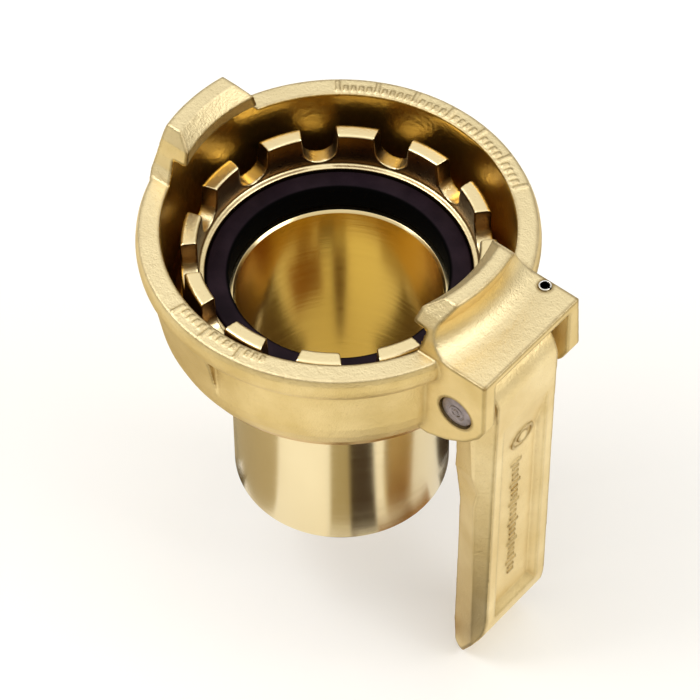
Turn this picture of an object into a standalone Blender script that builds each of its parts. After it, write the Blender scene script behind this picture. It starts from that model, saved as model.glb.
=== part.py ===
"""Lever clamp-ring hose coupling, DN 50, female half.

Frame: +Z runs along the bore from the tail to the mouth, the origin is the centre of
the tail's end face, and +X points at the lever.  Built in metres; the sizes below are
in millimetres and go through mm().
"""
import math

import bmesh
import bpy
from mathutils import Matrix, Vector

# ---------------------------------------------------------------- driving dimensions, mm
GAP = 0.3                    # clearance left between touching pieces
STEPS = 60                   # facets in a full turn of the large round pieces

BORE_R = 25.0                # clear bore of the tail pipe
TAIL_R = 27.0                # outside of the tail pipe
TAIL_TOP = 63.7
TAIL_CHAMFER = 1.4           # lead-in at the mouth end of the bore

NECK_R = 31.0                # body neck that carries the clamp ring
NECK_BOTTOM = 47.0
FLANGE_UNDER = 60.0          # shoulder that the clamp ring pulls against
SEAT_Z = 64.0                # floor of the gasket seat
SEAT_R = 32.1
LEDGE_Z = 71.6               # narrow ledge between gasket and teeth
CROWN_IN_R = 33.5
CROWN_OUT_R = 37.6
CROWN_TOP = 81.5
TEETH = 12
NOTCH_R = 4.1                # rounded floor of each notch
NOTCH_Z = 76.7
CROWN_TURN = 2.7             # how far a tooth stands past the lever, degrees

GASKET_IN_R = 26.4
GASKET_OUT_R = 31.8
GASKET_TOP = 71.0

RING_BOTTOM = 53.9
RING_TOP = 87.3
RING_IN_R = 42.0
RING_RIM_R = 48.0            # fattest part of the rim band
RING_WALL_R = 44.2           # outside of the thin wall on the lever half
BAND_Z = 79.0                # underside of the rim band

WIRE_R = 1.1                 # round wire that keeps the ring on the neck
WIRE_Z = 57.0
WIRE_RING_R = 31.15

CLAW_TIP_R = 38.0            # inner edge of both claws
CLAW_TIP_Z = 97.0
CLAW_UNDER = 93.3
CLAW_TOP = 100.5
CLAW_CREASE_R = 41.2         # inner end of the flat top
HOOD_HALF = 17.35            # half width of the hood over the lever
HOOD_FRONT = 57.9
HOOD_TOP = 88.0
HOOD_PLATE = 2.4
SLOT_HALF = 13.1             # half width of the lever slot between the cheeks
RIGHT_CHEEK_Y = 17.7         # outer face of the right cheek at the hood's top
CHEEK_LEAN = 0.06            # how far that face leans out for each mm down

PIVOT_X = 49.4
PIVOT_Z = 72.7
PIVOT_R = 3.8                # shank of the pivot bolt
BOLT_HEAD_R = 4.4
BOLT_HEAD_T = 2.4
BOLT_SINK = 0.3              # the head's flat face lies this far below the cheek

HUB_R = 8.0
LEVER_HALF = 12.8
LEVER_TIP_Z = -31.4
NOSE_REACH = 11.2            # pivot to the end of the lever's nose, just short of the crown
WINDOW_R = 12.6              # swing room of the nose round the pivot
WINDOW_TOP = 81.6            # height at which that swing room is cut off flat
SLOT_WALL_X = 44.5           # how far back the slot goes into the hood below the window

ROLL_PIN_R = 1.6
ROLL_PIN_BORE = 1.2
ROLL_PIN_Y = 15.7
ROLL_PIN_TOP = 88.4
ROLL_PIN_BOTTOM = 66.0


def mm(value):
    return value * 0.001


# ---------------------------------------------------------------- scene and materials
def clear_scene():
    for obj in list(bpy.data.objects):
        bpy.data.objects.remove(obj, do_unlink=True)


def material(name, colour, roughness, metallic):
    mat = bpy.data.materials.new(name)
    mat.use_nodes = True
    shader = mat.node_tree.nodes["Principled BSDF"]
    shader.inputs["Base Color"].default_value = (*colour, 1.0)
    shader.inputs["Roughness"].default_value = roughness
    shader.inputs["Metallic"].default_value = metallic
    return mat


# ---------------------------------------------------------------- shape helpers
def arc(centre, radius, start, end, count):
    """Points on a circle in a profile plane, angles in degrees, both ends included."""
    points = []
    for i in range(count + 1):
        angle = math.radians(start + (end - start) * i / count)
        points.append((centre[0] + radius * math.cos(angle), centre[1] + radius * math.sin(angle)))
    return points


def new_object(name, bm, smooth=True):
    bmesh.ops.recalc_face_normals(bm, faces=bm.faces)
    mesh = bpy.data.meshes.new(name)
    bm.to_mesh(mesh)
    bm.free()
    if smooth:
        mesh.shade_smooth()
        mesh.set_sharp_from_angle(angle=math.radians(35))
    obj = bpy.data.objects.new(name, mesh)
    bpy.context.scene.collection.objects.link(obj)
    return obj


def revolve(name, profile, steps=STEPS, start=0.0, sweep=360.0):
    """Turn a closed (radius, z) profile in mm round the Z axis, angles in degrees."""
    bm = bmesh.new()
    full = abs(sweep - 360.0) < 1e-6
    rings = []
    for i in range(steps if full else steps + 1):
        angle = math.radians(start + sweep * i / steps)
        rings.append([bm.verts.new((mm(r) * math.cos(angle), mm(r) * math.sin(angle), mm(z)))
                      for r, z in profile])
    count = len(profile)
    for i in range(steps):
        near, far = rings[i], rings[(i + 1) % len(rings)]
        for j in range(count):
            k = (j + 1) % count
            bm.faces.new((near[j], far[j], far[k], near[k]))
    if not full:
        bm.faces.new(rings[0])
        bm.faces.new(rings[-1])
    return new_object(name, bm)


def prism(name, outline, low, high, plane="XZ"):
    """Extrude a closed outline in mm; plane XZ runs along Y, YZ along X and XY along Z."""
    bm = bmesh.new()

    def place(a, b, depth):
        if plane == "XZ":
            return Vector((mm(a), mm(depth), mm(b)))
        if plane == "YZ":
            return Vector((mm(depth), mm(a), mm(b)))
        return Vector((mm(a), mm(b), mm(depth)))

    ends = [[bm.verts.new(place(a, b, depth)) for a, b in outline] for depth in (low, high)]
    bm.faces.new(ends[0])
    bm.faces.new(ends[1])
    for i in range(len(outline)):
        j = (i + 1) % len(outline)
        bm.faces.new((ends[0][i], ends[0][j], ends[1][j], ends[1][i]))
    return new_object(name, bm, smooth=False)


def rod(name, radius, start, end, segments=24):
    """A closed cylinder between two points in mm."""
    a, b = Vector(start), Vector(end)
    bm = bmesh.new()
    bmesh.ops.create_cone(bm, cap_ends=True, segments=segments, radius1=mm(radius),
                          radius2=mm(radius), depth=mm((b - a).length))
    turn = (b - a).to_track_quat("Z", "Y").to_matrix().to_4x4()
    centre = Matrix.Translation(Vector([mm(c) for c in (a + b) / 2]))
    bmesh.ops.transform(bm, matrix=centre @ turn, verts=bm.verts)
    return new_object(name, bm)


def guide(obj):
    """Mark a tool shape, which isn't part of the coupling."""
    obj.hide_render = True
    obj.display_type = "WIRE"
    return obj


def join(name, objects):
    """One guide from several separate closed bodies."""
    bm = bmesh.new()
    for obj in objects:
        obj.data.transform(obj.matrix_world)
        bm.from_mesh(obj.data)
        bpy.data.objects.remove(obj, do_unlink=True)
    mesh = bpy.data.meshes.new(name)
    bm.to_mesh(mesh)
    bm.free()
    obj = bpy.data.objects.new(name, mesh)
    bpy.context.scene.collection.objects.link(obj)
    return obj


def combine(obj, tool, operation):
    """Add a Boolean to obj, with the EXACT solver that a new modifier has."""
    guide(tool)
    step = obj.modifiers.new(f"{operation.lower()}_{tool.name}", "BOOLEAN")
    step.operation = operation
    step.object = tool
    return obj


def turned(obj, degrees):
    """Turn a shape about the coupling's axis, in its own mesh."""
    obj.data.transform(Matrix.Rotation(math.radians(degrees), 4, "Z"))
    return obj


# ---------------------------------------------------------------- pipe, body, gasket, wire
def tail_pipe():
    inner_top = BORE_R + TAIL_CHAMFER
    profile = [(BORE_R + 0.4, 0.0), (TAIL_R - 0.6, 0.0), (TAIL_R, 0.6), (TAIL_R, TAIL_TOP),
               (inner_top, TAIL_TOP), (BORE_R, TAIL_TOP - TAIL_CHAMFER), (BORE_R, 0.4)]
    return revolve("tail_pipe", profile)


def crown_body():
    socket = TAIL_R + GAP
    groove_low, groove_high = WIRE_Z - WIRE_R - GAP, WIRE_Z + WIRE_R + GAP
    groove_r = WIRE_RING_R - WIRE_R - GAP
    profile = [
        (socket, NECK_BOTTOM), (NECK_R - 1.0, NECK_BOTTOM), (NECK_R, NECK_BOTTOM + 1.0),
        (NECK_R, groove_low), (groove_r, groove_low), (groove_r, groove_high), (NECK_R, groove_high),
        (NECK_R, FLANGE_UNDER), (CROWN_OUT_R - 1.0, FLANGE_UNDER), (CROWN_OUT_R, FLANGE_UNDER + 1.0),
        (CROWN_OUT_R, CROWN_TOP - 0.8), (CROWN_OUT_R - 0.8, CROWN_TOP),
        (CROWN_IN_R + 0.5, CROWN_TOP), (CROWN_IN_R, CROWN_TOP - 0.5), (CROWN_IN_R, LEDGE_Z),
        (SEAT_R, LEDGE_Z), (SEAT_R, SEAT_Z), (socket, SEAT_Z)]
    body = revolve("crown_body", profile)
    notches = []
    for i in range(TEETH):
        outline = arc((0.0, NOTCH_Z), NOTCH_R, 180, 360, 8)
        outline += [(NOTCH_R + 0.4, CROWN_TOP + 2), (-NOTCH_R - 0.4, CROWN_TOP + 2)]
        notch = prism(f"notch_{i}", outline, CROWN_IN_R - 1.2, CROWN_OUT_R + 2, plane="YZ")
        notches.append(turned(notch, CROWN_TURN + 360 / TEETH * (i + 0.5)))
    return combine(body, join("notch_tool", notches), "DIFFERENCE")


def gasket():
    radius = 0.7
    low, high = SEAT_Z + GAP, GASKET_TOP
    profile = [(GASKET_IN_R + radius, low), (GASKET_OUT_R - radius, low), (GASKET_OUT_R, low + radius),
               (GASKET_OUT_R, high - radius), (GASKET_OUT_R - radius, high),
               (GASKET_IN_R + radius, high), (GASKET_IN_R, high - radius), (GASKET_IN_R, low + radius)]
    return revolve("gasket", profile)


def retaining_wire():
    """Split spring wire, open at the side away from the lever."""
    section = arc((WIRE_RING_R, WIRE_Z), WIRE_R, 0, 315, 7)
    return revolve("retaining_wire", section, start=-172.0, sweep=344.0)


# ---------------------------------------------------------------- clamp ring
def ring_profile(outside):
    """Whole (radius, z) section of the ring for a given run up its outside."""
    groove_low, groove_high = WIRE_Z - WIRE_R - GAP, WIRE_Z + WIRE_R + GAP
    groove_r = WIRE_RING_R + WIRE_R + GAP
    bore = NECK_R + GAP
    floor = FLANGE_UNDER - GAP
    inside = [(RING_IN_R, RING_TOP), (RING_IN_R - 0.9, floor + 3.5), (RING_IN_R - 2.0, floor + 1.0),
              (RING_IN_R - 3.6, floor), (bore, floor), (bore, groove_high), (groove_r, groove_high),
              (groove_r, groove_low), (bore, groove_low), (bore, RING_BOTTOM)]
    return outside + inside


def rim_band():
    return [(RING_RIM_R - 0.9, BAND_Z + 1.4), (RING_RIM_R, 82.6), (RING_RIM_R, 85.2), (47.2, RING_TOP)]


def claw_profile(back):
    """Claw section: a given back, then flat top, sloping nose and undercut, down into the rim."""
    nose = [(CLAW_CREASE_R, CLAW_TOP), (CLAW_TIP_R, CLAW_TIP_Z), (CLAW_TIP_R + 0.2, CLAW_UNDER)]
    root = RING_IN_R + 0.25
    return back + nose + [(root, CLAW_UNDER - 0.4), (root, RING_TOP - 2.5)]


def claw_flanks(name, side):
    """Outline of a claw seen along the radius: half widths and heights of its right flank."""
    outline = side + [(-y, z) for y, z in reversed(side)]
    return prism(name, outline, 30.0, 56.0, plane="YZ")


def lean_right_cheek(hood):
    """Set the hood's right face, which stands further out the lower it is."""
    for vertex in hood.data.vertices:
        if vertex.co.y > 0.0:
            vertex.co.y = mm(RIGHT_CHEEK_Y) + (mm(HOOD_TOP) - vertex.co.z) * CHEEK_LEAN


def clamp_ring():
    thin_wall = [(38.6, RING_BOTTOM), (40.2, RING_BOTTOM + 0.9), (42.2, 58.4), (43.5, 61.8), (44.0, 65.0),
                 (RING_WALL_R, BAND_Z - 1.0), (45.0, BAND_Z)]
    ring = revolve("clamp_ring", ring_profile(thin_wall + rim_band()))

    # the half away from the lever has a thicker wall, flush with the rim, that carries the claw
    thick_wall = [(43.6, 64.0), (44.6, 69.0), (45.3, 73.0), (46.1, 77.0), (47.1, 81.0), (47.4, 82.6),
                  (43.3, 83.0), (43.0, 66.0)]
    combine(ring, revolve("thick_half", thick_wall, steps=31, start=90.7, sweep=178.6), "UNION")

    fixed = claw_profile([(47.5, RING_TOP - 4.0), (47.9, 88.5), (45.6, CLAW_TOP - 0.6), (45.0, CLAW_TOP)])
    claw = revolve("fixed_claw", fixed, steps=11, start=155.0, sweep=50.0)
    flanks = [(18.2, 84.0), (16.4, 87.0), (14.2, 90.0), (13.0, 93.0), (12.0, 97.0), (9.6, 101.0)]
    combine(claw, turned(claw_flanks("fixed_claw_flanks", flanks), 180.0), "INTERSECT")
    combine(ring, claw, "UNION")

    # hood: top plate and two cheeks in one block, its underside sloping up to the front
    hood = prism("hood", [(38.0, 58.5), (41.5, 58.5), (47.0, 60.6), (52.5, 64.0), (56.4, 68.4),
                          (HOOD_FRONT, 71.5), (HOOD_FRONT, HOOD_TOP), (38.0, HOOD_TOP)],
                 -HOOD_HALF, HOOD_HALF)
    lean_right_cheek(hood)
    hollow = revolve("ring_hollow", [(RING_IN_R - 0.4, 52.0), (RING_IN_R - 0.4, 92.0), (12.0, 92.0),
                                     (12.0, 52.0)])
    combine(hood, hollow, "DIFFERENCE")
    combine(ring, hood, "UNION")

    cove = arc((51.0, 95.2), 7.2, 270, 180, 6)
    swing = claw_profile([(51.5, 87.2)] + cove + [(45.1, CLAW_TOP - 0.6), (44.7, CLAW_TOP)])
    hook = revolve("hood_claw", swing, steps=13, start=-30.0, sweep=60.0)
    flanks = [(17.3, 84.0), (17.2, 88.0), (16.2, 91.0), (15.0, 94.0), (13.4, 96.4), (9.8, CLAW_TOP + 0.4)]
    combine(hook, claw_flanks("hood_claw_flanks", flanks), "INTERSECT")
    combine(ring, hook, "UNION")

    # slot for the lever, open to the front and below, with swing room through the wall
    reach = math.degrees(math.asin((WINDOW_TOP - PIVOT_Z) / WINDOW_R))
    foot = 180 + math.degrees(math.acos((PIVOT_X - SLOT_WALL_X) / WINDOW_R))
    ceiling = HOOD_TOP - HOOD_PLATE
    slot = arc((PIVOT_X, PIVOT_Z), WINDOW_R, 180 - reach, foot, 10)
    slot += [(SLOT_WALL_X, 50.0), (62.0, 50.0), (62.0, ceiling), (46.6, ceiling), (44.6, ceiling - 1.0)]
    combine(ring, prism("lever_slot", slot, -SLOT_HALF, SLOT_HALF), "DIFFERENCE")

    # the right cheek's inner face opens towards the front
    flare = [(PIVOT_X, SLOT_HALF - 1.0), (PIVOT_X, SLOT_HALF), (62.0, SLOT_HALF + 1.5),
             (62.0, SLOT_HALF - 1.0)]
    combine(ring, prism("slot_flare", flare, 50.0, ceiling, plane="XY"), "DIFFERENCE")

    bores = [rod("shank_bore", PIVOT_R + GAP, (PIVOT_X, -25, PIVOT_Z), (PIVOT_X, 25, PIVOT_Z), 24),
             rod("head_bore", BOLT_HEAD_R + GAP, (PIVOT_X, -25, PIVOT_Z),
                 (PIVOT_X, BOLT_HEAD_T - HOOD_HALF, PIVOT_Z), 32)]
    for bore in bores:
        combine(ring, bore, "DIFFERENCE")
    pin_bore = rod("roll_pin_bore", ROLL_PIN_R + 0.2, (PIVOT_X, ROLL_PIN_Y, ROLL_PIN_BOTTOM - 0.4),
                   (PIVOT_X, ROLL_PIN_Y, 92.0), 16)
    return combine(ring, pin_bore, "DIFFERENCE")


# ---------------------------------------------------------------- lever and its pins
def lever():
    """Flat bar lever with a round hub and a locking nose towards the crown."""
    outline = arc((PIVOT_X, PIVOT_Z), HUB_R, 8, 150, 10)
    outline += arc((PIVOT_X, PIVOT_Z), NOSE_REACH, 157, 196, 5)
    outline += [(43.6, 68.2), (45.0, 66.0), (45.0, 58.6), (43.5, 53.6), (43.4, 40.6), (45.6, 30.0),
                (45.2, 8.0), (44.4, -22.0), (44.8, -28.6)]
    outline += arc((46.9, -29.2), -29.2 - LEVER_TIP_Z, 190, 325, 5)
    outline += [(54.4, -19.8), (55.3, -17.6), (front_x(-13.0), -13.0), (front_x(60.0), 60.0)]
    bar = prism("lever", outline, -LEVER_HALF, LEVER_HALF)

    # the back of the grip is bevelled on both sides
    for side in (-1, 1):
        cut = grip_bevel(f"grip_bevel_{'left' if side < 0 else 'right'}", side)
        combine(bar, cut, "DIFFERENCE")

    # long recessed panel in the front face, with sloping sides
    combine(bar, panel_tool(), "DIFFERENCE")
    hole = rod("hub_bore", PIVOT_R + 0.1, (PIVOT_X, -20, PIVOT_Z), (PIVOT_X, 20, PIVOT_Z), 24)
    return combine(bar, hole, "DIFFERENCE")


def grip_bevel(name, side):
    """Wedge that narrows the back of the grip below the neck."""
    bm = bmesh.new()
    sections = []
    for z, edge in ((-36.0, 52.6), (34.0, 52.2), (39.5, 53.6), (45.0, 51.3), (59.5, 50.6)):
        slope = (LEVER_HALF - 9.6) / (edge - 44.8)
        back = 42.0
        corners = [(back, LEVER_HALF - (edge - back) * slope), (edge, LEVER_HALF + 0.02),
                   (edge, LEVER_HALF + 3), (back, LEVER_HALF + 3)]
        sections.append([bm.verts.new((mm(x), mm(side * y), mm(z))) for x, y in corners])
    for lower, upper in zip(sections, sections[1:]):
        for i in range(4):
            j = (i + 1) % 4
            bm.faces.new((lower[i], lower[j], upper[j], upper[i]))
    bm.faces.new(sections[0])
    bm.faces.new(sections[-1])
    return new_object(name, bm, smooth=False)


def panel_tool():
    """Frustum that sinks the panel: wide at the face and narrower at its floor."""
    bm = bmesh.new()
    loops = []
    for lift, half, low, high in ((1.4, 11.2, -13.2, 73.0), (-1.4, 6.8, -6.4, 66.0)):
        corners = [(-half, low), (half, low), (half, high), (-half, high)]
        loops.append([bm.verts.new((mm(front_x(z) + lift), mm(y), mm(z))) for y, z in corners])
    for i in range(4):
        j = (i + 1) % 4
        bm.faces.new((loops[0][i], loops[0][j], loops[1][j], loops[1][i]))
    bm.faces.new(loops[0])
    bm.faces.new(loops[1])
    return new_object("panel_tool", bm, smooth=False)


def front_x(z):
    """Front face of the lever's bar at height z, mm."""
    return 56.3 + (z - 4.0) * 0.75 / 60.0


def pivot_bolt():
    """Headed bolt across the cheeks, its flat head sunk in the left cheek."""
    shoulder = BOLT_HEAD_T - GAP - HOOD_HALF
    face = BOLT_SINK - HOOD_HALF
    end = RIGHT_CHEEK_Y + 0.2
    profile = [(0.0, face), (BOLT_HEAD_R - 0.6, face), (BOLT_HEAD_R, face + 0.4),
               (BOLT_HEAD_R, shoulder), (PIVOT_R, shoulder), (PIVOT_R, end - 0.5),
               (PIVOT_R - 0.5, end), (0.0, end)]
    bm = bmesh.new()
    steps = 32
    rings = []
    for r, y in profile:
        if r == 0.0:
            rings.append([bm.verts.new((0, mm(y), 0))])
            continue
        rings.append([bm.verts.new((mm(r) * math.cos(2 * math.pi * i / steps), mm(y),
                                    mm(r) * math.sin(2 * math.pi * i / steps))) for i in range(steps)])
    for a, b in zip(rings, rings[1:]):
        for i in range(steps):
            j = (i + 1) % steps
            if len(a) == 1:
                bm.faces.new((a[0], b[i], b[j]))
            elif len(b) == 1:
                bm.faces.new((a[i], a[j], b[0]))
            else:
                bm.faces.new((a[i], a[j], b[j], b[i]))
    bolt = new_object("pivot_bolt", bm)
    bolt.location = (mm(PIVOT_X), 0.0, mm(PIVOT_Z))
    cross = rod("cross_hole", ROLL_PIN_R + 0.2, (PIVOT_X, ROLL_PIN_Y, PIVOT_Z - 10),
                (PIVOT_X, ROLL_PIN_Y, PIVOT_Z + 10), 16)
    return combine(bolt, cross, "DIFFERENCE")


def roll_pin():
    """Split spring pin, driven down through the right cheek and the bolt's shank."""
    slit = math.radians(12)
    steps = 15
    bm = bmesh.new()
    rings = []
    profile = [(ROLL_PIN_BORE, ROLL_PIN_BOTTOM), (ROLL_PIN_R, ROLL_PIN_BOTTOM),
               (ROLL_PIN_R, ROLL_PIN_TOP), (ROLL_PIN_BORE, ROLL_PIN_TOP)]
    for i in range(steps + 1):
        angle = slit + (2 * math.pi - 2 * slit) * i / steps
        rings.append([bm.verts.new((mm(r) * math.cos(angle), mm(r) * math.sin(angle), mm(z)))
                      for r, z in profile])
    for a, b in zip(rings, rings[1:]):
        for j in range(4):
            k = (j + 1) % 4
            bm.faces.new((a[j], b[j], b[k], a[k]))
    bm.faces.new(rings[0])
    bm.faces.new(rings[-1])
    pin = new_object("roll_pin", bm)
    pin.location = (mm(PIVOT_X), mm(ROLL_PIN_Y), 0.0)
    return pin


# ---------------------------------------------------------------- assembly
def hang_lever(bar):
    """Put the lever's origin on its pivot, so that it turns about the bolt."""
    pivot = Vector((mm(PIVOT_X), 0.0, mm(PIVOT_Z)))
    bar.data.transform(Matrix.Translation(-pivot))
    bar.location = pivot


def main():
    clear_scene()
    cast = (0.80, 0.60, 0.28)
    pieces = {
        "turned brass": ((0.83, 0.62, 0.27), 0.22, 1.0, [tail_pipe()]),
        "body brass": ((0.78, 0.56, 0.24), 0.34, 1.0, [crown_body()]),
        "rubber": ((0.020, 0.016, 0.026), 0.55, 0.0, [gasket()]),
        "wire steel": ((0.45, 0.45, 0.46), 0.35, 1.0, [retaining_wire()]),
        "ring brass": (cast, 0.40, 1.0, [clamp_ring()]),
        "lever brass": (cast, 0.42, 1.0, [lever()]),
        "bolt steel": ((0.40, 0.38, 0.37), 0.38, 1.0, [pivot_bolt()]),
        "pin steel": ((0.72, 0.72, 0.72), 0.25, 1.0, [roll_pin()]),
    }
    for name, (colour, roughness, metallic, objects) in pieces.items():
        mat = material(name, colour, roughness, metallic)
        for obj in objects:
            obj.data.materials.append(mat)
            if obj.name == "lever":
                hang_lever(obj)


main()
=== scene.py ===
"""Looks of the lever clamp-ring hose coupling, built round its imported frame.

Lengths below are in millimetres in the coupling's own frame: +Z along the bore from the
tail to the mouth, +X towards the lever.  mm() turns them into Blender's metres.  The
driving sizes are read from the frame's nodes.
"""
import math

import bmesh
import bpy
from mathutils import Matrix, Vector


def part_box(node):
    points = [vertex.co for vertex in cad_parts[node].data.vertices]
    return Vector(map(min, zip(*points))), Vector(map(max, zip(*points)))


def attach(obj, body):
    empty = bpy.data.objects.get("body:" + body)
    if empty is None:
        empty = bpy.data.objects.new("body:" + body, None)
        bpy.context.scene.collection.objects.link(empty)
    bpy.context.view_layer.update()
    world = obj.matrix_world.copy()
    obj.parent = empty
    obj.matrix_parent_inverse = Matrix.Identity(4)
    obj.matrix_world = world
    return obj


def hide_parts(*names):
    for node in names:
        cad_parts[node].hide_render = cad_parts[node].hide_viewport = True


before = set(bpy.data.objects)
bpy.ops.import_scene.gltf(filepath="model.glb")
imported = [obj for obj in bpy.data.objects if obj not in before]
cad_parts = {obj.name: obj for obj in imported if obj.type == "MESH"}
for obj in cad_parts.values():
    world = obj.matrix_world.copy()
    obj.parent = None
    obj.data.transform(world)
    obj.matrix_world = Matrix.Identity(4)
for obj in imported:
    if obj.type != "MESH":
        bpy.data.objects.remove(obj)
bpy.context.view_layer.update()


def mm(value):
    """Millimetres in metres."""
    return value * 0.001


def node_box(node):
    """Lowest and highest corner of a frame node, in mm."""
    low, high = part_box(node)
    return low * 1000.0, high * 1000.0


# ---------------------------------------------------------------- sizes read from the frame
tail_low, tail_high = node_box("tail_pipe")
crown_low, crown_high = node_box("crown_body")
gasket_low, gasket_high = node_box("gasket")
wire_low, wire_high = node_box("retaining_wire")
ring_low, ring_high = node_box("clamp_ring")
lever_low, lever_high = node_box("lever")
bolt_low, bolt_high = node_box("pivot_bolt")
pin_low, pin_high = node_box("roll_pin")

TAIL_R = tail_high.x
TAIL_TOP = tail_high.z
WALL = 2.0
BORE_R = TAIL_R - WALL
CROWN_R = crown_high.y
CROWN_TOP = crown_high.z
GASKET_R = gasket_high.y
GASKET_INNER_R = 26.4
GASKET_TOP = gasket_high.z
WIRE_Z = (wire_low.z + wire_high.z) / 2
WIRE_R = (wire_high.z - wire_low.z) / 2
WIRE_TURN_R = 31.15          # from the bore's axis to the middle of the wire
GROOVE_HALF = WIRE_R + 0.3   # half height of the wire's two facing grooves
RING_R = ring_high.y
RING_FOOT = ring_low.z
CLAW_TOP = ring_high.z
HOOD_FRONT = ring_high.x
PIVOT_X = (bolt_low.x + bolt_high.x) / 2
PIVOT_Z = (bolt_low.z + bolt_high.z) / 2
HEAD_R = (bolt_high.x - bolt_low.x) / 2
SHANK_R = 3.8
HUB_BORE_R = SHANK_R + 0.1
CHEEK_BORE_R = SHANK_R + 0.3
LEVER_HALF = lever_high.y
LEVER_TIP = lever_low.z
TABLE_Z = LEVER_TIP - 1.0
PIN_X = (pin_low.x + pin_high.x) / 2
PIN_Y = (pin_low.y + pin_high.y) / 2
PIN_R = (pin_high.x - pin_low.x) / 2

# the ring and its hood, from the ring's own height and radius
RING_TOP = CLAW_TOP - 13.2
RING_IN_R = RING_R - 6.0
BAND_Z = RING_TOP - 8.3      # where the rim's wide band meets the wall below it
NECK_R = RING_R - 17.0       # the body's neck, on which the ring turns
RING_FLOOR_Z = RING_FOOT + 5.8
HOOD_HALF = 17.35            # outer face of the left cheek, on the -Y side
HOOD_TOP = RING_TOP + 0.7
HOOD_CEILING = HOOD_TOP - 2.4
SLOT_HALF = 13.1             # half width of the lever's slot between the cheeks
RIGHT_CHEEK_Y = 17.7         # outer face of the right cheek at the hood's top
CHEEK_LEAN = 0.06            # how far it leans out for each mm down
FRONT_HALF = 11.4            # half width of the lever's front face
PANEL_DEPTH = 1.9

CAST_VOXEL = 0.28            # grid that rounds and joins the castings
FINE_STEPS = 240             # facets in a full turn of the turned pieces


# ---------------------------------------------------------------- mesh helpers
def arc(centre, radius, start, end, count):
    """Points on a circle in a profile plane, angles in degrees, both ends included."""
    points = []
    for i in range(count + 1):
        angle = math.radians(start + (end - start) * i / count)
        points.append((centre[0] + radius * math.cos(angle), centre[1] + radius * math.sin(angle)))
    return points


def rounded(corners, count=4):
    """Closed outline with some corners rounded: each corner is (a, b) or (a, b, radius)."""
    points = []
    total = len(corners)
    for i, corner in enumerate(corners):
        here = Vector(corner[:2])
        radius = corner[2] if len(corner) > 2 else 0.0
        if radius == 0.0:
            points.append(tuple(here))
            continue
        before = (Vector(corners[i - 1][:2]) - here).normalized()
        after = (Vector(corners[(i + 1) % total][:2]) - here).normalized()
        half = before.angle(after) / 2
        reach = radius / math.tan(half)
        centre = here + (before + after).normalized() * (radius / math.sin(half))
        first, last = here + before * reach - centre, here + after * reach - centre
        for k in range(count + 1):
            points.append(tuple(centre + first.slerp(last, k / count) * radius))
    return points


def finish_mesh(name, bm):
    """New object from a bmesh, shaded smooth between its sharp edges."""
    bmesh.ops.recalc_face_normals(bm, faces=bm.faces)
    mesh = bpy.data.meshes.new(name)
    bm.to_mesh(mesh)
    bm.free()
    mesh.shade_smooth()
    mesh.set_sharp_from_angle(angle=math.radians(35))
    obj = bpy.data.objects.new(name, mesh)
    bpy.context.scene.collection.objects.link(obj)
    return obj


def revolve(name, profile, steps=FINE_STEPS, start=0.0, sweep=360.0):
    """Turn a closed (radius, z) profile round the Z axis, angles in degrees."""
    bm = bmesh.new()
    full = abs(sweep - 360.0) < 1e-6
    rings = []
    for i in range(steps if full else steps + 1):
        angle = math.radians(start + sweep * i / steps)
        rings.append([bm.verts.new((mm(r) * math.cos(angle), mm(r) * math.sin(angle), mm(z)))
                      for r, z in profile])
    count = len(profile)
    for i in range(steps):
        near, far = rings[i], rings[(i + 1) % len(rings)]
        for j in range(count):
            k = (j + 1) % count
            bm.faces.new((near[j], far[j], far[k], near[k]))
    if not full:
        bm.faces.new(rings[0])
        bm.faces.new(rings[-1])
    return finish_mesh(name, bm)


def prism(name, outline, low, high, plane="XZ"):
    """Extrude a closed outline; plane XZ runs along Y, YZ along X and XY along Z."""
    bm = bmesh.new()

    def place(a, b, depth):
        if plane == "XZ":
            return Vector((mm(a), mm(depth), mm(b)))
        if plane == "YZ":
            return Vector((mm(depth), mm(a), mm(b)))
        return Vector((mm(a), mm(b), mm(depth)))

    ends = [[bm.verts.new(place(a, b, depth)) for a, b in outline] for depth in (low, high)]
    bm.faces.new(ends[0])
    bm.faces.new(ends[1])
    for i in range(len(outline)):
        j = (i + 1) % len(outline)
        bm.faces.new((ends[0][i], ends[0][j], ends[1][j], ends[1][i]))
    return finish_mesh(name, bm)


def loft(name, loops):
    """Closed solid through a list of corner loops, each a list of points in mm."""
    bm = bmesh.new()
    rings = [[bm.verts.new((mm(x), mm(y), mm(z))) for x, y, z in loop] for loop in loops]
    for near, far in zip(rings, rings[1:]):
        for i in range(len(near)):
            j = (i + 1) % len(near)
            bm.faces.new((near[i], near[j], far[j], far[i]))
    bm.faces.new(rings[0])
    bm.faces.new(rings[-1])
    return finish_mesh(name, bm)


def rod(name, radius, start, end, segments=64):
    """A closed cylinder between two points."""
    a, b = Vector(start), Vector(end)
    bm = bmesh.new()
    bmesh.ops.create_cone(bm, cap_ends=True, segments=segments, radius1=mm(radius),
                          radius2=mm(radius), depth=mm((b - a).length))
    turn = (b - a).to_track_quat("Z", "Y").to_matrix().to_4x4()
    centre = Matrix.Translation((a + b) / 2 * 0.001)
    bmesh.ops.transform(bm, matrix=centre @ turn, verts=bm.verts)
    return finish_mesh(name, bm)


def turned(obj, degrees):
    """The object, turned about the bore's axis."""
    obj.data.transform(Matrix.Rotation(math.radians(degrees), 4, "Z"))
    return obj


def apply_modifiers(obj):
    """Replace the object's mesh by what its modifiers make of it."""
    graph = bpy.context.evaluated_depsgraph_get()
    mesh = bpy.data.meshes.new_from_object(obj.evaluated_get(graph))
    obj.modifiers.clear()
    obj.data = mesh
    return obj


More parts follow.
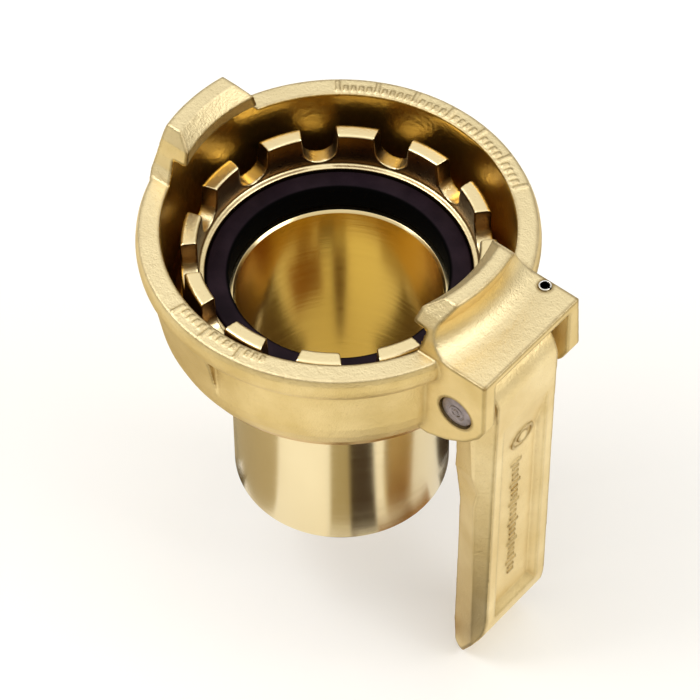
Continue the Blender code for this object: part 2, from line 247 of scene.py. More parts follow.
def combine(obj, tool, operation, solver="EXACT"):
    """Apply a Boolean with a tool shape, which is used up."""
    step = obj.modifiers.new("combine", "BOOLEAN")
    step.operation = operation
    step.solver = solver
    step.object = tool
    apply_modifiers(obj)
    bpy.data.objects.remove(tool, do_unlink=True)
    return obj


def join(name, objects):
    """One object from several; overlapping bodies stay as they are."""
    bm = bmesh.new()
    for obj in objects:
        bm.from_mesh(obj.data)
        bpy.data.objects.remove(obj, do_unlink=True)
    return finish_mesh(name, bm)


def cast(obj, voxel=CAST_VOXEL, rounds=2):
    """Fuse overlapping bodies into one skin with the soft edges of a casting."""
    step = obj.modifiers.new("fuse", "REMESH")
    step.mode = "VOXEL"
    step.voxel_size = mm(voxel)
    soften = obj.modifiers.new("soften", "SMOOTH")
    soften.factor = 0.5
    soften.iterations = rounds
    apply_modifiers(obj)
    obj.data.shade_smooth()
    return obj


# ---------------------------------------------------------------- pipe, body, gasket, wire
def tail_pipe():
    """Plain pipe with a short lead-in at the top of its bore."""
    lead_in = 0.6
    profile = rounded([(BORE_R, tail_low.z, 0.5), (TAIL_R, tail_low.z, 0.5), (TAIL_R, TAIL_TOP),
                       (BORE_R + lead_in, TAIL_TOP, 0.15), (BORE_R, TAIL_TOP - lead_in)])
    return revolve("turned_tail", profile)


def crown_body():
    """Neck with the wire's inner groove, flange, gasket seat and a crown of twelve teeth."""
    teeth = 12
    tooth_turn = 2.7
    socket = TAIL_R + 0.3
    in_r = CROWN_R - 4.1
    flange_z = 60.0
    seat_r, seat_z, ledge_z = GASKET_R + 0.3, 64.0, GASKET_TOP + 0.6
    groove_r = NECK_R - 1.2
    groove_foot, groove_top = WIRE_Z - GROOVE_HALF, WIRE_Z + GROOVE_HALF
    profile = rounded([
        (socket, crown_low.z, 0.3), (NECK_R, crown_low.z, 1.2), (NECK_R, groove_foot),
        (groove_r, groove_foot), (groove_r, groove_top), (NECK_R, groove_top), (NECK_R, flange_z),
        (CROWN_R, flange_z, 0.9), (CROWN_R, CROWN_TOP, 0.9), (in_r, CROWN_TOP, 0.6),
        (in_r, ledge_z, 0.5), (seat_r, ledge_z, 0.25), (seat_r, seat_z), (socket, seat_z)])
    body = revolve("toothed_crown", profile, steps=180)
    notch_r, notch_z = 4.1, CROWN_TOP - 4.8
    notches = []
    for i in range(teeth):
        outline = arc((0.0, notch_z), notch_r, 180, 360, 16)
        outline += [(notch_r + 0.4, CROWN_TOP + 2), (-notch_r - 0.4, CROWN_TOP + 2)]
        notch = prism(f"notch_{i}", outline, in_r - 1.2, CROWN_R + 2, plane="YZ")
        notches.append(turned(notch, tooth_turn + 360 / teeth * (i + 0.5)))
    combine(body, join("notches", notches), "DIFFERENCE")
    return cast(body, rounds=4)


def gasket():
    """Flat ring with rounded edges."""
    foot = gasket_low.z
    profile = rounded([(GASKET_INNER_R, foot, 0.5), (GASKET_R, foot, 0.5), (GASKET_R, GASKET_TOP, 0.7),
                       (GASKET_INNER_R, GASKET_TOP, 0.9)])
    return revolve("flat_gasket", profile)


def retaining_wire():
    """Round wire bent to a ring, with a gap away from the lever."""
    section = arc((WIRE_TURN_R, WIRE_Z), WIRE_R, 0, 337.5, 15)
    return revolve("spring_wire", section, steps=200, start=-172.0, sweep=344.0)


# ---------------------------------------------------------------- clamp ring casting
def claw_section(back):
    """Claw section: a given back, then flat top, sloping nose and undercut, down into the rim."""
    tip = RING_IN_R - 4.0
    root = RING_IN_R
    under = RING_TOP + 6.0
    nose = [(RING_IN_R - 0.8, CLAW_TOP), (tip, CLAW_TOP - 3.5), (tip + 0.2, under)]
    return back + nose + [(root, under - 0.4), (root, RING_TOP - 2.5)]


def claw_flanks(name, side):
    """Outline of a claw seen along the radius: half widths and heights of its right flank."""
    outline = side + [(-y, z) for y, z in reversed(side)]
    return prism(name, outline, 30.0, 56.0, plane="YZ")


def ring_shell():
    """The turned ring: curved wall, wide rim band, machined inside and the wire's outer groove."""
    bore = NECK_R + 0.3
    wire_seat = WIRE_TURN_R + GROOVE_HALF
    groove_foot, groove_top = WIRE_Z - GROOVE_HALF, WIRE_Z + GROOVE_HALF
    profile = rounded([
        (38.6, RING_FOOT, 0.6), (40.2, RING_FOOT + 0.9), (42.2, 58.4), (43.5, 61.8), (44.0, 65.0),
        (44.2, BAND_Z - 0.6), (44.9, BAND_Z - 0.1), (RING_R - 1.1, BAND_Z + 1.2),
        (RING_R - 0.2, 82.2), (RING_R, 83.8), (RING_R - 0.2, 85.6), (RING_R - 0.9, RING_TOP, 0.5),
        (RING_IN_R, RING_TOP, 0.4), (RING_IN_R - 0.9, RING_FLOOR_Z + 3.5),
        (RING_IN_R - 2.0, RING_FLOOR_Z + 1.0), (RING_IN_R - 3.6, RING_FLOOR_Z), (bore, RING_FLOOR_Z),
        (bore, groove_top), (wire_seat, groove_top), (wire_seat, groove_foot), (bore, groove_foot),
        (bore, RING_FOOT)])
    return revolve("ring_shell", profile, steps=180)


def thick_half():
    """Thicker wall on the half away from the lever, ending in a step on each side."""
    profile = [(43.0, 60.5), (43.7, 63.0), (44.6, 69.0), (45.3, 73.0), (46.1, 77.0), (47.1, 81.0),
               (47.5, 83.0), (43.3, 83.4)]
    return revolve("thick_half", profile, steps=91, start=90.7, sweep=178.6)


def fixed_claw():
    """Claw cast on the rim, opposite the lever."""
    back = [(47.5, RING_TOP - 4.0), (47.9, 88.5), (45.6, CLAW_TOP - 0.6), (45.0, CLAW_TOP)]
    section = claw_section(back)
    claw = revolve("fixed_claw", section, steps=41, start=155.0, sweep=50.0)
    flanks = [(18.2, 84.0), (16.4, 87.0), (14.2, 90.0), (13.0, 93.0), (12.0, 97.0), (9.6, 101.0)]
    return combine(claw, turned(claw_flanks("fixed_claw_flanks", flanks), 180.0), "INTERSECT")


def hood():
    """Top plate and two cheeks in one block, its underside sloping up to the front."""
    outline = rounded([(38.0, 58.5), (41.5, 58.5), (47.0, 60.6, 3.0), (52.5, 64.0, 3.0),
                       (56.4, 68.4, 2.0), (HOOD_FRONT, 71.5, 2.0), (HOOD_FRONT, HOOD_TOP),
                       (38.0, HOOD_TOP)], count=6)
    block = prism("hood", outline, -HOOD_HALF, HOOD_HALF)
    for vertex in block.data.vertices:
        if vertex.co.y > 0.0:
            vertex.co.y = mm(RIGHT_CHEEK_Y) + (mm(HOOD_TOP) - vertex.co.z) * CHEEK_LEAN
    hollow_r = RING_IN_R - 0.4
    hollow = revolve("ring_hollow", [(hollow_r, 52.0), (hollow_r, 92.0), (12.0, 92.0), (12.0, 52.0)])
    return combine(block, hollow, "DIFFERENCE")


def hood_claw():
    """Claw on the hood, with a cove at its back."""
    cove = arc((51.0, 95.2), 7.2, 270, 180, 16)
    section = claw_section([(51.5, 87.2)] + cove + [(45.1, CLAW_TOP - 0.6), (44.7, CLAW_TOP)])
    hook = revolve("hood_claw", section, steps=53, start=-30.0, sweep=60.0)
    flanks = [(17.3, 84.0), (17.2, 88.0), (16.2, 91.0), (15.0, 94.0), (13.4, 96.4),
              (9.8, CLAW_TOP + 0.4)]
    return combine(hook, claw_flanks("hood_claw_flanks", flanks), "INTERSECT")


def lever_slot():
    """Room for the lever: open to the front and below, with a window through the wall."""
    window_r, window_top, wall = 12.6, 81.6, 44.5
    reach = math.degrees(math.asin((window_top - PIVOT_Z) / window_r))
    foot = 180 + math.degrees(math.acos((PIVOT_X - wall) / window_r))
    outline = arc((PIVOT_X, PIVOT_Z), window_r, 180 - reach, foot, 20)
    outline += [(wall, 50.0), (62.0, 50.0), (62.0, HOOD_CEILING), (46.6, HOOD_CEILING),
                (44.6, HOOD_CEILING - 1.0)]
    return prism("lever_slot", outline, -SLOT_HALF, SLOT_HALF)


def slot_flare():
    """Wedge that opens the right cheek's inner face towards the front."""
    outline = [(PIVOT_X, SLOT_HALF - 1.0), (PIVOT_X, SLOT_HALF), (62.0, SLOT_HALF + 1.5),
               (62.0, SLOT_HALF - 1.0)]
    return prism("slot_flare", outline, 50.0, HOOD_CEILING, plane="XY")


def stroke(name, reach, low, high):
    """Short raised bar along X, from -reach to reach."""
    half = 0.42
    outline = [(-reach, -half), (reach, -half), (reach, half), (-reach, half)]
    return prism(name, outline, low, high, plane="XY")


def rim_marks():
    """Plain index strokes, long and short, raised on the rim's flat top in two arcs."""
    marks = []
    middle = RING_R - 3.2
    long_reach, short_reach, pitch = 1.7, 0.8, 2.5
    for start, count in ((55.0, 31), (-106.0, 14)):
        for i in range(count):
            reach = long_reach if i % 5 == 0 else short_reach
            mark = stroke(f"rim_mark_{len(marks)}", reach, -0.6, 0.4)
            place = (mm(middle + reach - long_reach), 0.0, mm(RING_TOP))
            mark.data.transform(Matrix.Translation(place))
            marks.append(turned(mark, start + pitch * i))
    return marks


def clamp_ring():
    """The whole casting, fused and softened, then bored for the bolt, its head and the pin."""
    shell, block = ring_shell(), hood()
    for part in (shell, block):
        combine(part, lever_slot(), "DIFFERENCE")
    combine(block, slot_flare(), "DIFFERENCE")
    castings = [shell, block, thick_half(), fixed_claw(), hood_claw()]
    ring = cast(join("cast_ring", castings + rim_marks()))
    left, right = (PIVOT_X, -25.0, PIVOT_Z), (PIVOT_X, 25.0, PIVOT_Z)
    head_floor = (PIVOT_X, 2.4 - HOOD_HALF, PIVOT_Z)
    pin_foot, pin_mouth = (PIN_X, PIN_Y, pin_low.z - 0.4), (PIN_X, PIN_Y, HOOD_TOP + 4.0)
    bores = [rod("shank_bore", CHEEK_BORE_R, left, right),
             rod("head_bore", HEAD_R + 0.3, left, head_floor),
             rod("pin_bore", PIN_R + 0.1, pin_foot, pin_mouth)]
    for bore in bores:
        combine(ring, bore, "DIFFERENCE", solver="MANIFOLD")
    ring.data.shade_smooth()
    ring.data.set_sharp_from_angle(angle=math.radians(50))
    return ring


# ---------------------------------------------------------------- lever, bolt and pin
def front_x(z):
    """Front face of the lever's bar at height z."""
    return 56.3 + (z - 4.0) * 0.75 / 60.0


def grip_bevel(name, side):
    """Wedge that narrows the back of the grip below the neck."""
    back = 42.0
    grip_x, grip_half = 44.8, 9.6
    loops = []
    for z, edge in ((-36.0, 52.6), (34.0, 52.2), (39.5, 53.6), (45.0, 51.3), (59.5, 50.6)):
        slope = (LEVER_HALF - grip_half) / (edge - grip_x)
        corners = [(back, LEVER_HALF - (edge - back) * slope), (edge, LEVER_HALF + 0.02),
                   (edge, LEVER_HALF + 3), (back, LEVER_HALF + 3)]
        loops.append([(x, side * y, z) for x, y in corners])
    return loft(name, loops)


def front_bevel(name, side):
    """Wedge that narrows the bar towards its front face."""
    start, end = 52.0, 60.0
    slope = (LEVER_HALF - FRONT_HALF) / (front_x(30.0) - start)
    edge = LEVER_HALF - (end - start) * slope
    loops = []
    for z in (-36.0, 84.0):
        corners = [(start, LEVER_HALF), (end, edge), (end, LEVER_HALF + 3), (start, LEVER_HALF + 3)]
        loops.append([(x, side * y, z) for x, y in corners])
    return loft(name, loops)


def panel_recess():
    """Frustum that sinks the panel: steep sides and foot, and a long ramp at the top."""
    loops = []
    for lift in (1.0, -PANEL_DEPTH):
        half, low, high = 8.2 + lift * 0.8, -13.2 - lift * 1.2, 63.0 + lift * 6.5
        corners = [(-half, low), (half, low), (half, high), (-half, high)]
        loops.append([(front_x(z) + lift, y, z) for y, z in corners])
    return loft("panel_recess", loops)


def panel_marks():
    """A plain ring over a column of strokes, raised on the floor of the lever's panel."""
    face = Matrix.Rotation(math.radians(90), 4, "Y")
    lean = Matrix.Rotation(math.radians(7), 4, "Y")
    ring_z, ring_y = 51.0, 1.0
    ring_x = front_x(ring_z) - 1.7
    ring = revolve("panel_ring", [(3.2, -0.8), (4.1, -0.8), (4.1, 0.5), (3.2, 0.5)], steps=48)
    ring.data.transform(lean @ face)
    ring.data.transform(Matrix.Translation((mm(ring_x), mm(ring_y), mm(ring_z))))
    dot = rod("panel_dot", 1.8, (ring_x - 0.8, ring_y, ring_z), (ring_x + 0.5, ring_y, ring_z))
    marks = [ring, dot]
    first_z, pitch = 42.0, 2.0
    for i in range(23):
        z = first_z - pitch * i
        mark = stroke(f"panel_mark_{i}", 2.0 if i % 4 == 0 else 1.2, -0.6, 0.5)
        mark.data.transform(Matrix.Rotation(math.radians(90), 4, "Z"))
        mark.data.transform(face)
        mark.data.transform(Matrix.Translation((mm(front_x(z) - PANEL_DEPTH), mm(-0.6), mm(z))))
        marks.append(mark)
    return marks


def lever():
    """Hub and locking nose, necked grip with bevelled sides, and the sunk panel in front."""
    outline = arc((PIVOT_X, PIVOT_Z), 8.0, 8, 150, 24)
    outline += arc((PIVOT_X, PIVOT_Z), 11.2, 157, 196, 8)
    outline += [(43.6, 68.2), (45.0, 66.0), (45.0, 58.6), (43.5, 53.6), (43.4, 40.6), (45.6, 30.0),
                (45.2, 8.0), (44.4, -22.0), (44.8, -28.6)]
    outline += arc((46.9, -29.2), -29.2 - LEVER_TIP, 190, 325, 12)
    outline += [(54.4, -19.8), (55.3, -17.6), (front_x(-13.0), -13.0), (front_x(60.0), 60.0)]
    bar = prism("cast_lever", outline, -LEVER_HALF, LEVER_HALF)
    for name, side in (("left_bevel", -1), ("right_bevel", 1)):
        combine(bar, grip_bevel(name, side), "DIFFERENCE")
        combine(bar, front_bevel(name + "_front", side), "DIFFERENCE")
    combine(bar, panel_recess(), "DIFFERENCE")
    bar = cast(join("cast_lever", [bar] + panel_marks()), voxel=0.22)
    hole = rod("hub_bore", HUB_BORE_R, (PIVOT_X, -20, PIVOT_Z), (PIVOT_X, 20, PIVOT_Z))
    combine(bar, hole, "DIFFERENCE", solver="MANIFOLD")
    bar.data.shade_smooth()
    bar.data.set_sharp_from_angle(angle=math.radians(50))
    return bar


def pivot_bolt():
    """Headed bolt across the cheeks; the head's sunk face has shallow turned rings."""
    face = 0.35 - HOOD_HALF
    shoulder = face + 1.75
    end = bolt_high.y
    profile = rounded([(0.05, face - 0.12), (0.7, face - 0.12), (0.85, face + 0.05), (1.15, face + 0.05),
                       (1.3, face - 0.14), (1.9, face - 0.14), (2.05, face - 0.02), (2.3, face - 0.02),
                       (2.45, face - 0.12), (HEAD_R - 0.5, face), (HEAD_R, face + 0.3, 0.3),
                       (HEAD_R, shoulder), (SHANK_R, shoulder), (SHANK_R, end, 0.5), (0.05, end)])
    bolt = revolve("pivot_bolt_turned", profile, steps=96)
    bolt.data.transform(Matrix.Rotation(math.radians(-90), 4, "X"))
    bolt.data.transform(Matrix.Translation((mm(PIVOT_X), 0.0, mm(PIVOT_Z))))
    return bolt


def roll_pin():
    """Thin-walled spring pin with a slit along its side."""
    bore = PIN_R - 0.38
    profile = rounded([(bore, pin_low.z), (PIN_R, pin_low.z), (PIN_R, pin_high.z, 0.12),
                       (bore, pin_high.z, 0.1)])
    pin = revolve("split_pin", profile, steps=60, start=8.0, sweep=344.0)
    pin.data.transform(Matrix.Translation((mm(PIN_X), mm(PIN_Y), 0.0)))
    return pin


# ---------------------------------------------------------------- materials
def fill_ramp(ramp, stops):
    """Set a colour ramp's stops, each (position, colour)."""
    while len(ramp.elements) < len(stops):
        ramp.elements.new(0.5)
    for element, (position, colour) in zip(ramp.elements, stops):
        element.position = position
        element.color = (*colour, 1.0)


class Shader:
    """Small helper round one material's node tree."""

    def __init__(self, name):
        self.material = bpy.data.materials.new(name)
        self.material.use_nodes = True
        self.tree = self.material.node_tree
        self.surface = self.tree.nodes["Principled BSDF"]
        self.coords = self.add("ShaderNodeTexCoord").outputs["Object"]

    def add(self, kind, **settings):
        node = self.tree.nodes.new(kind)
        for key, value in settings.items():
            setattr(node, key, value)
        return node

    def link(self, source, target):
        self.tree.links.new(source, target)

    def noise(self, scale, detail=2.0, stretch=(1.0, 1.0, 1.0), roughness=0.5):
        """Noise in object space; scale is in features per metre."""
        mapping = self.add("ShaderNodeMapping")
        mapping.inputs["Scale"].default_value = stretch
        self.link(self.coords, mapping.inputs["Vector"])
        texture = self.add("ShaderNodeTexNoise")
        texture.inputs["Scale"].default_value = scale
        texture.inputs["Detail"].default_value = detail
        texture.inputs["Roughness"].default_value = roughness
        self.link(mapping.outputs["Vector"], texture.inputs["Vector"])
        return texture.outputs["Fac"]

    def ramp(self, value, stops):
        """Colour ramp from a number, with stops (position, colour)."""
        node = self.add("ShaderNodeValToRGB")
        fill_ramp(node.color_ramp, stops)
        self.link(value, node.inputs["Fac"])
        return node.outputs["Color"]

    def scale_range(self, value, low, high):
        """Stretch a number that runs from 0 to 1, so that it runs from low to high."""
        node = self.add("ShaderNodeMapRange")
        node.inputs["To Min"].default_value = low
        node.inputs["To Max"].default_value = high
        self.link(value, node.inputs["Value"])
        return node.outputs["Result"]

    def mix(self, factor, first, colour):
        """Colour that goes from a linked first one to a fixed one."""
        node = self.add("ShaderNodeMix", data_type="RGBA")
        self.link(factor, node.inputs[0])
        self.link(first, node.inputs[6])
        node.inputs[7].default_value = (*colour, 1.0)
        return node.outputs[2]

    def blend(self, factor, first, value):
        """Number that goes from a linked first one to a fixed one."""
        node = self.add("ShaderNodeMix", data_type="FLOAT")
        self.link(factor, node.inputs[0])
        self.link(first, node.inputs[2])
        node.inputs[3].default_value = value
        return node.outputs[0]

    def bump(self, height, distance, strength, after=None):
        """Bumped normal; distance is the full height in mm, and after another bump under it."""
        node = self.add("ShaderNodeBump")
        node.inputs["Strength"].default_value = strength
        node.inputs["Distance"].default_value = mm(distance)
        self.link(height, node.inputs["Height"])
        if after is not None:
            self.link(after, node.inputs["Normal"])
        return node.outputs["Normal"]


def smooth_step(s, value, zero, one):
    """Soft step of a value from 0 at one end to 1 at the other."""
    node = s.add("ShaderNodeMapRange", interpolation_type="SMOOTHSTEP")
    node.inputs["From Min"].default_value = zero
    node.inputs["From Max"].default_value = one
    s.link(value, node.inputs["Value"])
    return node.outputs["Result"]


def times(s, first, second):
    """Product of two numbers."""
    node = s.add("ShaderNodeMath", operation="MULTIPLY")
    s.link(first, node.inputs[0])
    s.link(second, node.inputs[1])
    return node.outputs[0]


def radius_and_height(s):
    """Distance from the bore's axis and height, in metres, of the shaded point."""
    split = s.add("ShaderNodeSeparateXYZ")
    s.link(s.coords, split.inputs[0])
    flat = s.add("ShaderNodeCombineXYZ")
    s.link(split.outputs["X"], flat.inputs["X"])
    s.link(split.outputs["Y"], flat.inputs["Y"])
    length = s.add("ShaderNodeVectorMath", operation="LENGTH")
    s.link(flat.outputs[0], length.inputs[0])
    return length.outputs["Value"], split.outputs["Z"]


def facing_up(s):
    """1 on faces that look up, 0 on walls and what looks down."""
    geometry = s.add("ShaderNodeNewGeometry")
    split = s.add("ShaderNodeSeparateXYZ")
    s.link(geometry.outputs["Normal"], split.inputs[0])
    return smooth_step(s, split.outputs["Z"], 0.25, 0.8)


def shade_mask(s, distance, zero, one, inside=False):
    """Occlusion within a distance in mm: in crevices, or with inside on along outer edges."""
    node = s.add("ShaderNodeAmbientOcclusion", samples=6, inside=inside, only_local=True)
    node.inputs["Distance"].default_value = mm(distance)
    return smooth_step(s, node.outputs["AO"], zero, one)


def cast_brass(is_ring=False):
    """Blasted casting: sand grain, faint blotches, darker outer edges and painted shade in crevices.

    The ring has a painted highlight that makes it pale where it faces up, and is machined smooth inside
    below its claws, with painted shade deepening its colour there.
    """
    s = Shader("ring_brass" if is_ring else "lever_brass")
    s.surface.inputs["Metallic"].default_value = 1.0
    blotch = s.noise(70.0, detail=3.0)
    if is_ring:
        colour = s.ramp(blotch, [(0.3, (0.70, 0.52, 0.20)), (0.7, (0.88, 0.70, 0.34))])
        # Painted highlight: the faces that look up are mixed towards a pale colour.
        colour = s.mix(s.scale_range(facing_up(s), 0.0, 0.65), colour, (1.0, 0.90, 0.62))
    else:
        colour = s.ramp(blotch, [(0.3, (0.80, 0.62, 0.29)), (0.7, (0.94, 0.78, 0.44))])
    grain = s.noise(1900.0, detail=2.0, roughness=0.7)
    speck = smooth_step(s, grain, 0.40, 0.26)
    colour = s.mix(times(s, speck, s.scale_range(blotch, 0.1, 0.8)), colour, (0.60, 0.42, 0.16))
    patchy = s.scale_range(s.noise(260.0, detail=3.0), 0.4, 1.3)
    # Darker along the outer edges, in patches.
    edges = shade_mask(s, 1.0, 0.96, 0.72, inside=True)
    colour = s.mix(times(s, edges, patchy), colour, (0.27, 0.17, 0.045))
    # Painted shade: crevices and corners within 2.4 mm are darkened, in patches.
    colour = s.mix(times(s, shade_mask(s, 2.4, 0.96, 0.60), patchy), colour, (0.36, 0.22, 0.055))
    rough = s.scale_range(grain, 0.38, 0.58)
    coarse = s.noise(700.0, detail=2.0)
    height = grain
    if is_ring:
        radius, level = radius_and_height(s)
        inner = smooth_step(s, radius, mm(RING_IN_R + 0.3), mm(RING_IN_R + 0.05))
        below = smooth_step(s, level, mm(CLAW_TOP - 6.9), mm(CLAW_TOP - 7.3))
        mask = times(s, inner, below)
        # Inside below the claws: machined smooth, with painted shade giving it a deeper colour.
        colour = s.mix(mask, colour, (0.72, 0.46, 0.10))
        rough = s.blend(mask, rough, 0.30)
        height = times(s, grain, s.scale_range(mask, 1.0, 0.15))
    s.link(colour, s.surface.inputs["Base Color"])
    s.link(rough, s.surface.inputs["Roughness"])
    normal = s.bump(coarse, 0.18, 0.6)
    s.link(s.bump(height, 0.14, 0.9, after=normal), s.surface.inputs["Normal"])
    return s.material


def body_brass():
    """Machined casting: painted highlight on the tops and ledge, and painted shade that makes the walls
    dark.
    """
    s = Shader("body_brass")
    s.surface.inputs["Metallic"].default_value = 1.0
    blotch = s.noise(90.0, detail=3.0)
    # Painted shade darkens the walls; a painted highlight makes the faces that look up bright.
    wall = s.ramp(blotch, [(0.3, (0.13, 0.065, 0.022)), (0.7, (0.24, 0.13, 0.045))])
    colour = s.mix(facing_up(s), wall, (0.93, 0.79, 0.47))
    s.link(colour, s.surface.inputs["Base Color"])
    grain = s.noise(1400.0, detail=2.0)
    s.link(s.scale_range(grain, 0.22, 0.40), s.surface.inputs["Roughness"])
    s.link(s.bump(grain, 0.10, 0.5), s.surface.inputs["Normal"])
    return s.material


def turned_brass():
    """Turned pipe: pale satin outside, deep gold in the bore as painted shade, fine tool lines round
    both.
    """
    s = Shader("turned_brass")
    s.surface.inputs["Metallic"].default_value = 1.0
    blotch = s.noise(40.0, detail=3.0, stretch=(1.0, 1.0, 0.4))
    colour = s.ramp(blotch, [(0.3, (0.80, 0.66, 0.37)), (0.7, (0.89, 0.75, 0.45))])
    radius, level = radius_and_height(s)
    inner = smooth_step(s, radius, mm(TAIL_R - 0.7), mm(TAIL_R - 1.4))
    inner = times(s, inner, smooth_step(s, level, mm(TAIL_TOP - 0.4), mm(TAIL_TOP - 0.9)))
    # Painted shade: the bore below its lead-in is a deeper gold.
    colour = s.mix(inner, colour, (0.67, 0.43, 0.07))
    s.link(colour, s.surface.inputs["Base Color"])
    lines = s.noise(900.0, detail=3.0, stretch=(0.02, 0.02, 1.0), roughness=0.6)
    s.link(s.scale_range(lines, 0.12, 0.24), s.surface.inputs["Roughness"])
    s.link(s.bump(lines, 0.03, 0.6), s.surface.inputs["Normal"])
    return s.material


def gasket_rubber():
    """Black rubber, faintly violet on its flat top, with painted shade making it dead black round its
    hole.
    """
    s = Shader("gasket_rubber")
    haze = s.noise(160.0, detail=4.0)
    colour = s.ramp(haze, [(0.35, (0.010, 0.005, 0.009)), (0.7, (0.020, 0.011, 0.017))])
    radius, _ = radius_and_height(s)
    wall = smooth_step(s, radius, mm(GASKET_INNER_R + 1.0), mm(GASKET_INNER_R + 0.3))
    # Painted shade: the wall of the hole is dead black.
    colour = s.mix(wall, colour, (0.0, 0.0, 0.0))
    s.link(colour, s.surface.inputs["Base Color"])
    s.surface.inputs["Specular IOR Level"].default_value = 0.08
    s.link(s.blend(wall, s.scale_range(haze, 0.45, 0.62), 1.0), s.surface.inputs["Roughness"])
    fine = s.noise(1500.0, detail=2.0)
    s.link(s.bump(fine, 0.06, 0.5), s.surface.inputs["Normal"])
    return s.material


def bolt_steel():
    """Stained grey steel."""
    s = Shader("bolt_steel")
    s.surface.inputs["Metallic"].default_value = 1.0
    stain = s.noise(500.0, detail=4.0)
    colour = s.ramp(stain, [(0.35, (0.20, 0.165, 0.155)), (0.7, (0.38, 0.32, 0.31))])
    s.link(colour, s.surface.inputs["Base Color"])
    s.link(s.scale_range(stain, 0.28, 0.5), s.surface.inputs["Roughness"])
    s.link(s.bump(stain, 0.08, 0.5), s.surface.inputs["Normal"])
    return s.material


def spring_steel():
    """Bright spring steel, with painted shade: the pin is bright only on its end, and dark down its
    bore.
    """
    s = Shader("spring_steel")
    s.surface.inputs["Metallic"].default_value = 1.0
    streak = s.noise(900.0, detail=2.0, stretch=(1.0, 1.0, 0.05))
    colour = s.ramp(streak, [(0.3, (0.78, 0.78, 0.76)), (0.7, (0.92, 0.92, 0.90))])
    _, level = radius_and_height(s)
    down = smooth_step(s, level, mm(pin_high.z - 0.2), mm(pin_high.z - 0.6))
    # Painted shade: the steel is dark below the pin's top end, which darkens the pin's bore and the wire
    # too.
    colour = s.mix(down, colour, (0.05, 0.045, 0.04))
    s.link(colour, s.surface.inputs["Base Color"])
    s.link(s.scale_range(streak, 0.18, 0.32), s.surface.inputs["Roughness"])
    return s.material


# ---------------------------------------------------------------- camera, floor and light
def camera():
    """Long lens from above and to the lever's left; the turn is about the bore."""
    elevation, roll, turn = math.radians(50.91), math.radians(0.72), math.radians(40.3)
    distance, right_shift, up_shift = 1009.3, -2.37, -25.72
    forward = Vector((0.0, math.cos(elevation), -math.sin(elevation)))
    right = Vector((1.0, 0.0, 0.0))
    up = right.cross(forward)
    place = (-right_shift * right - up_shift * up - distance * forward) * 0.001
    across = math.cos(roll) * right - math.sin(roll) * up
    upward = math.sin(roll) * right + math.cos(roll) * up
    pose = Matrix((across, upward, -forward)).transposed().to_4x4()
    pose.translation = place
    data = bpy.data.cameras.new("camera")
    data.sensor_width = 36.0
    data.lens = 205.7
    data.clip_start = 0.01
    data.clip_end = 10.0
    obj = bpy.data.objects.new("camera", data)
    obj.matrix_world = Matrix.Rotation(turn, 4, "Z") @ pose
    bpy.context.scene.collection.objects.link(obj)
    bpy.context.scene.camera = obj


def floor():
    """Pale table that glows a little, as a light table does."""
    bm = bmesh.new()
    bmesh.ops.create_grid(bm, x_segments=1, y_segments=1, size=3.0)
    obj = finish_mesh("floor", bm)
    obj.location.z = mm(TABLE_Z)
    s = Shader("floor_white")
    s.surface.inputs["Base Color"].default_value = (0.80, 0.80, 0.80, 1.0)
    s.surface.inputs["Roughness"].default_value = 0.8
    s.surface.inputs["Emission Color"].default_value = (1.0, 1.0, 0.99, 1.0)
    s.surface.inputs["Emission Strength"].default_value = 0.22
    obj.data.materials.append(s.material)


def softbox(name, azimuth, elevation, distance, power):
    """Lamp aimed at the coupling, distance in metres; azimuth 0 stands on the lever's side."""
    data = bpy.data.lights.new(name, "AREA")
    data.shape = "RECTANGLE"
    data.size = data.size_y = 0.5
    data.energy = power
    obj = bpy.data.objects.new(name, data)
    a, e = math.radians(azimuth), math.radians(elevation)
    target = Vector((0.0, 0.0, 0.05))
    direction = Vector((math.cos(e) * math.cos(a), math.cos(e) * math.sin(a), math.sin(e)))
    obj.location = target + distance * direction
    obj.rotation_euler = (obj.location - target).to_track_quat("Z", "Y").to_euler()
    bpy.context.scene.collection.objects.link(obj)


def flag(name, start, end, near, far, colour):
    """Card lying on the table, seen only in reflections: a slice of a ring round the bore.

    start and end are azimuths in degrees, near and far radii in mm.
    """
    outline = arc((0.0, 0.0), far, start, end, 2) + arc((0.0, 0.0), near, end, start, 2)
    low = TABLE_Z + 0.1
    card = prism(name, outline, low, low + 0.1, plane="XY")
    s = Shader(name + "_card")
    s.surface.inputs["Base Color"].default_value = (*colour, 1.0)
    s.surface.inputs["Roughness"].default_value = 1.0
    card.data.materials.append(s.material)
    card.visible_camera = False
    card.visible_diffuse = False
    card.visible_shadow = False
    card.visible_transmission = False


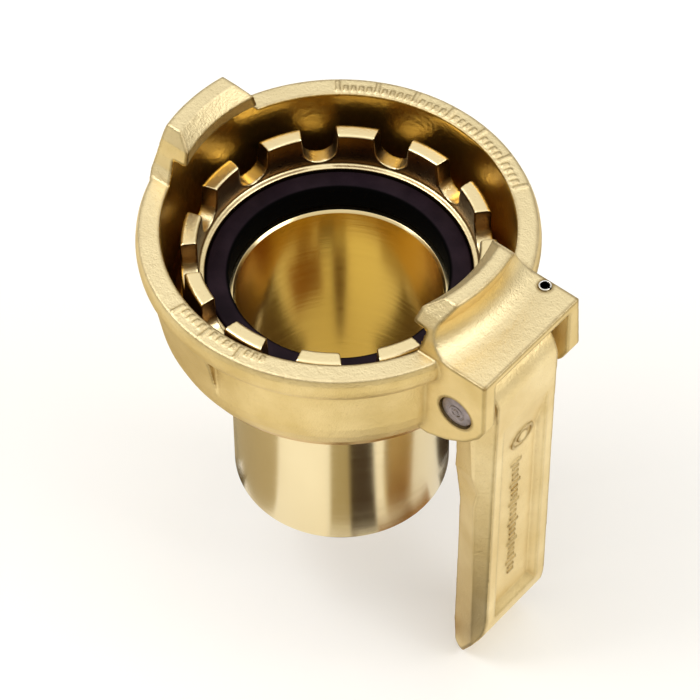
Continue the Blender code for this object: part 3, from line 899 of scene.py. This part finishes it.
def reflection_cards():
    """Dark, golden and grey cards that give the pipe and its bore their bands."""
    brown = (0.03, 0.014, 0.003)
    umber = (0.10, 0.07, 0.03)
    # round the pipe: grey, brown and golden towards the camera, brown behind, tan on the left
    flag("half_flag", -60.0, -43.0, 45.0, 100.0, (0.40, 0.34, 0.20))
    flag("front_flag", -43.0, -21.0, 43.0, 100.0, brown)
    flag("gold_flag", -20.0, 34.0, 22.0, 44.0, (0.36, 0.16, 0.01))
    flag("back_flag", 52.0, 130.0, 43.0, 200.0, brown)
    flag("side_flag", 150.0, 250.0, 43.0, 200.0, (0.50, 0.43, 0.29))
    # under the bore
    flag("bore_front_flag", -62.0, -39.0, 2.0, 41.0, (0.12, 0.05, 0.004))
    flag("bore_right_flag", 152.0, 208.0, 12.0, 41.0, umber)
    flag("bore_left_flag", 52.0, 108.0, 12.0, 41.0, umber)


def studio():
    """Soft sky that is brightest overhead and dim and warm at the horizon, with two softboxes."""
    world = bpy.data.worlds.new("studio")
    bpy.context.scene.world = world
    world.use_nodes = True
    tree = world.node_tree
    background = tree.nodes["Background"]
    coords = tree.nodes.new("ShaderNodeTexCoord")
    split = tree.nodes.new("ShaderNodeSeparateXYZ")
    ramp = tree.nodes.new("ShaderNodeValToRGB")
    tree.links.new(coords.outputs["Generated"], split.inputs[0])
    tree.links.new(split.outputs["Z"], ramp.inputs["Fac"])
    tree.links.new(ramp.outputs["Color"], background.inputs["Color"])
    stops = ((0.0, (0.10, 0.08, 0.05)), (0.35, (0.24, 0.20, 0.13)), (0.7, (0.92, 0.88, 0.80)),
             (1.0, (1.15, 1.14, 1.12)))
    fill_ramp(ramp.color_ramp, stops)
    background.inputs["Strength"].default_value = 1.0
    bpy.context.scene.view_settings.view_transform = "Standard"
    softbox("key", -140.0, 50.0, 0.9, 3.0)
    softbox("fill", 20.0, 40.0, 1.0, 2.6)


# ---------------------------------------------------------------- assembly
def coupling():
    """Each piece on its body, in the place of its frame node, with its material."""
    spring_mat = spring_steel()
    pieces = [
        (tail_pipe(), "body", "tail_pipe", "turned_brass", turned_brass()),
        (crown_body(), "body", "crown_body", "body_brass", body_brass()),
        (gasket(), "body", "gasket", "gasket_rubber", gasket_rubber()),
        (retaining_wire(), "body", "retaining_wire", "spring_steel", spring_mat),
        (clamp_ring(), "clamp_ring", "clamp_ring", "cast_brass", cast_brass(is_ring=True)),
        (pivot_bolt(), "clamp_ring", "pivot_bolt", "bolt_steel", bolt_steel()),
        (roll_pin(), "clamp_ring", "roll_pin", "spring_steel", spring_mat),
        (lever(), "lever", "lever", "cast_brass", cast_brass()),
    ]
    for obj, body, node, slot, material in pieces:
        obj.data.materials.clear()
        obj.data.materials.append(material)
        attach(obj, body)
        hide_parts(node)


camera()
floor()
reflection_cards()
studio()
coupling()
